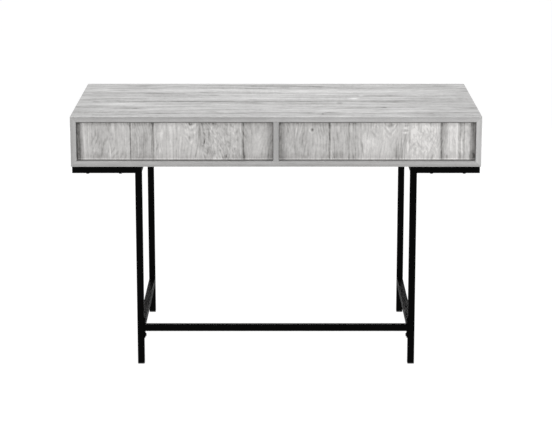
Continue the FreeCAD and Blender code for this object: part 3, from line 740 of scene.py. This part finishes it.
def drawer_board(name, along_y, seed):
    """A drawer box board: pale grey foil with a faint straight grain, raw chipboard below."""
    n = Nodes(name)
    along, across = (n.y, n.x) if along_y else (n.x, n.y)
    parts = grain(n, n.vector(along, n.z), seed, drift_by=0.010)
    faint = {"band": 0.14, "streak": 0.22, "line": 0.20, "fibre": 0.12}
    tone = n.weigh(0.60, *((parts[part], weight) for part, weight in faint.items()))
    edge_tone = edge_band(n, along, across, seed + 5, BOX_EDGE_TONE)
    foil = decor_colour(n, n.choose(n.facing(n.nz), tone, edge_tone))
    chips = n.noise(n.point, 420.0, seed + 3, 2.0, 0.6)
    raw = n.ramp(n.weigh(0.5, (chips, 0.7)), [(0.25, CHIPBOARD[0]), (0.75, CHIPBOARD[1])])
    colour = n.blend(n.facing(n.minus(0.0, n.nz)), foil, raw)
    roughness = n.weigh(0.55, (parts["streak"], 0.14))
    normal = n.bump(n.weigh(0.0, (parts["fibre"], 0.6), (parts["line"], 0.4)), 0.0001, 0.6)
    return n.surface(colour, roughness, normal, **DULL)


def hardboard():
    """The drawer bottom: pale printed paper above, brown pressed fibre below."""
    n = Nodes("hardboard_sheet")
    fibres = n.noise(n.point, (300.0, 340.0, 300.0), 9.0, 4.0, 0.65)
    cloud = n.noise(n.point, (18.0, 22.0, 18.0), 9.5, 3.0)
    parts = grain(n, n.vector(n.x, n.y), 52.0, drift_by=0.014)
    faint = {"band": 0.16, "streak": 0.24, "line": 0.16}
    paper = decor_colour(n, n.weigh(0.60, *((parts[part], weight) for part, weight in faint.items())))
    fibre_tone = n.weigh(0.5, (fibres, 0.7), (cloud, 0.4))
    brown = n.ramp(fibre_tone, [(0.2, PRESSED_FIBRE[0]), (0.8, PRESSED_FIBRE[1])])
    colour = n.blend(n.remap(n.nz, 0.3, 0.7), brown, paper)
    roughness = n.weigh(0.62, (fibres, 0.2))
    return n.surface(colour, roughness, n.bump(fibres, 0.00012, 0.7), **DULL)


def joint_wood():
    """The dowels and splines."""
    n = Nodes("beech_joint_wood")
    rings = n.noise(n.point, 60.0, 10.0, 3.0, 0.6, 0.6)
    flecks = n.noise(n.point, (700.0, 260.0, 700.0), 11.0, 2.0)
    colour = n.ramp(n.weigh(0.5, (rings, 0.6), (flecks, 0.4)), [(0.2, BEECH[0]), (0.8, BEECH[1])])
    return n.surface(colour, n.weigh(0.6, (flecks, 0.2)), n.bump(flecks, 0.0001, 0.6))


# ---------------------------------------------------------------- dressing the nodes


def paint(names, material):
    """Give the CAD nodes of those names this material."""
    for name in names:
        for slot in frame["nodes"][name].material_slots:
            slot.material = material


def nodes_in(slot):
    """The names of the CAD nodes that came with this material."""
    return [name for name, made_of in CAME_WITH.items() if made_of == slot]


def dress_casing():
    """The top and both sides share one seed, so the print runs on round the corners."""
    paint(["top_panel"], case_board("grey_laminate_top", 2.0, spots=TOP_MARKS))
    paint(["left_side_panel"], case_board("grey_laminate_left", 2.0, wrap=-1.0))
    paint(["right_side_panel"], case_board("grey_laminate_right", 2.0, wrap=1.0))
    paint(["bottom_panel"], case_board("grey_laminate_bottom", 12.0))
    paint(["centre_divider"], divider_board())
    paint(["back_panel"], back_board())


def dress_drawer(hand, pattern, seed):
    """The left or the right drawer's front and box."""
    node = f"{hand}_drawer_front"
    paint([node], drawer_front(f"drawer_laminate_{hand}", node, pattern, seed))
    lengthwise = drawer_board(f"drawer_board_{hand}_sides", True, seed + 4)
    crosswise = drawer_board(f"drawer_board_{hand}_back", False, seed + 6)
    paint([f"{hand}_drawer_left_side", f"{hand}_drawer_right_side"], lengthwise)
    paint([f"{hand}_drawer_back"], crosswise)


def dress():
    """Give every CAD node its material."""
    dress_casing()
    dress_drawer("left", LEFT_PRINT, 61.0)
    dress_drawer("right", RIGHT_PRINT, 71.0)
    paint(nodes_in("hardboard"), hardboard())
    paint(nodes_in("joint_wood"), joint_wood())
    paint(nodes_in("black_steel"), black_powder_coat())
    paint(nodes_in("black_screw"), black_fastener())
    paint(nodes_in("black_plastic"), plastic("black_plastic_moulded", 11, 0.5))
    paint(nodes_in("grey_plastic"), plastic("grey_plastic_moulded", 150, 0.42))
    paint(nodes_in("rail_steel"), zinc("rail_zinc", 172, 0.34, DRAWN))
    paint(nodes_in("cam_zinc"), zinc("cam_zinc_cast", 170, 0.42))
    paint(nodes_in("fixing_steel"), zinc("fixing_zinc", 140, 0.40))


# ---------------------------------------------------------------- studio


WHITE = (1.0, 1.0, 1.0, 1.0)
FLOOR_SIZE = 60.0
FLOOR_GLOW = 0.98  # the floor's own light, so that it looks plain white
FLOOR_GREYS = ((0.10, 0.10, 0.10, 1.0), (0.12, 0.12, 0.12, 1.0))
FILL_LIGHT = 0.24  # the world's light on the desk; the camera sees the world at 1, plain white

# (name, place, aim, (width, height), watts)
SOFTBOXES = (
    ("overhead_softbox", (0.0, 0.25, 3.0), (0.0, 0.1, 0.75), (2.4, 1.6), 50.0),
    ("side_softbox_0", (-3.4, -3.0, 0.95), (0.0, -0.2, 0.62), (1.6, 1.8), 88.0),
    ("side_softbox_2", (3.4, -3.0, 0.95), (0.0, -0.2, 0.62), (1.6, 1.8), 88.0),
    ("rear_softbox", (0.0, 3.6, 0.38), (0.0, 0.3, 0.55), (2.6, 0.66), 40.0),
)


def floor():
    """A white sweep that the camera sees; the lamps and the world alone light the desk."""
    bpy.ops.mesh.primitive_plane_add(size=FLOOR_SIZE)
    plane = bpy.context.object
    plane.name = "studio_floor"
    plane.visible_diffuse = False
    n = Nodes("studio_floor_white")
    cloud = n.noise(n.point, 3.0, 20.0, 3.0)
    colour = n.ramp(cloud, [(0.2, FLOOR_GREYS[0]), (0.8, FLOOR_GREYS[1])])
    glow = {"Emission Color": WHITE, "Emission Strength": FLOOR_GLOW, "Specular IOR Level": 0.0}
    plane.data.materials.append(n.surface(colour, 0.9, **glow))


def softbox(name, place, aim, size, power):
    """A soft lamp that the camera doesn't see."""
    data = bpy.data.lights.new(name, "AREA")
    data.shape = "RECTANGLE"
    data.size, data.size_y = size
    data.energy = power
    light = bpy.data.objects.new(name, data)
    light.location = place
    light.rotation_euler = (Vector(aim) - Vector(place)).to_track_quat("-Z", "Y").to_euler()
    light.visible_camera = False
    bpy.context.scene.collection.objects.link(light)


def world():
    """White to the camera, and a dimmer even fill for everything else."""
    made = bpy.data.worlds.new("studio_world")
    made.use_nodes = True
    tree = made.node_tree
    path = tree.nodes.new("ShaderNodeLightPath")
    level = tree.nodes.new("ShaderNodeMix")
    tree.links.new(path.outputs["Is Camera Ray"], level.inputs[0])
    level.inputs[2].default_value = FILL_LIGHT
    level.inputs[3].default_value = 1.0
    background = tree.nodes["Background"]
    background.inputs[0].default_value = WHITE
    tree.links.new(level.outputs[0], background.inputs[1])
    bpy.context.scene.world = made


def lights():
    """The world and the softboxes."""
    world()
    for lamp in SOFTBOXES:
        softbox(*lamp)


LENS, SENSOR = 132.95, 36.0  # mm
CAMERA_AIM = Vector((0.0, 0.0, 0.360))
CAMERA_DISTANCE = 6.309
CAMERA_ELEVATION = math.radians(13.17)


def camera():
    """A long lens in front of the desk, looking a little down."""
    data = bpy.data.cameras.new("camera")
    data.lens = LENS
    data.sensor_width = SENSOR
    data.clip_start = 0.1
    data.clip_end = 200.0
    viewer = bpy.data.objects.new("camera", data)
    back = Vector((0.0, -math.cos(CAMERA_ELEVATION), math.sin(CAMERA_ELEVATION)))
    viewer.location = CAMERA_AIM + back * CAMERA_DISTANCE
    viewer.rotation_euler = (-back).to_track_quat("-Z", "Y").to_euler()
    bpy.context.scene.collection.objects.link(viewer)
    bpy.context.scene.camera = viewer


dress()
floor()
lights()
camera()
bpy.context.scene.view_settings.view_transform = "Standard"
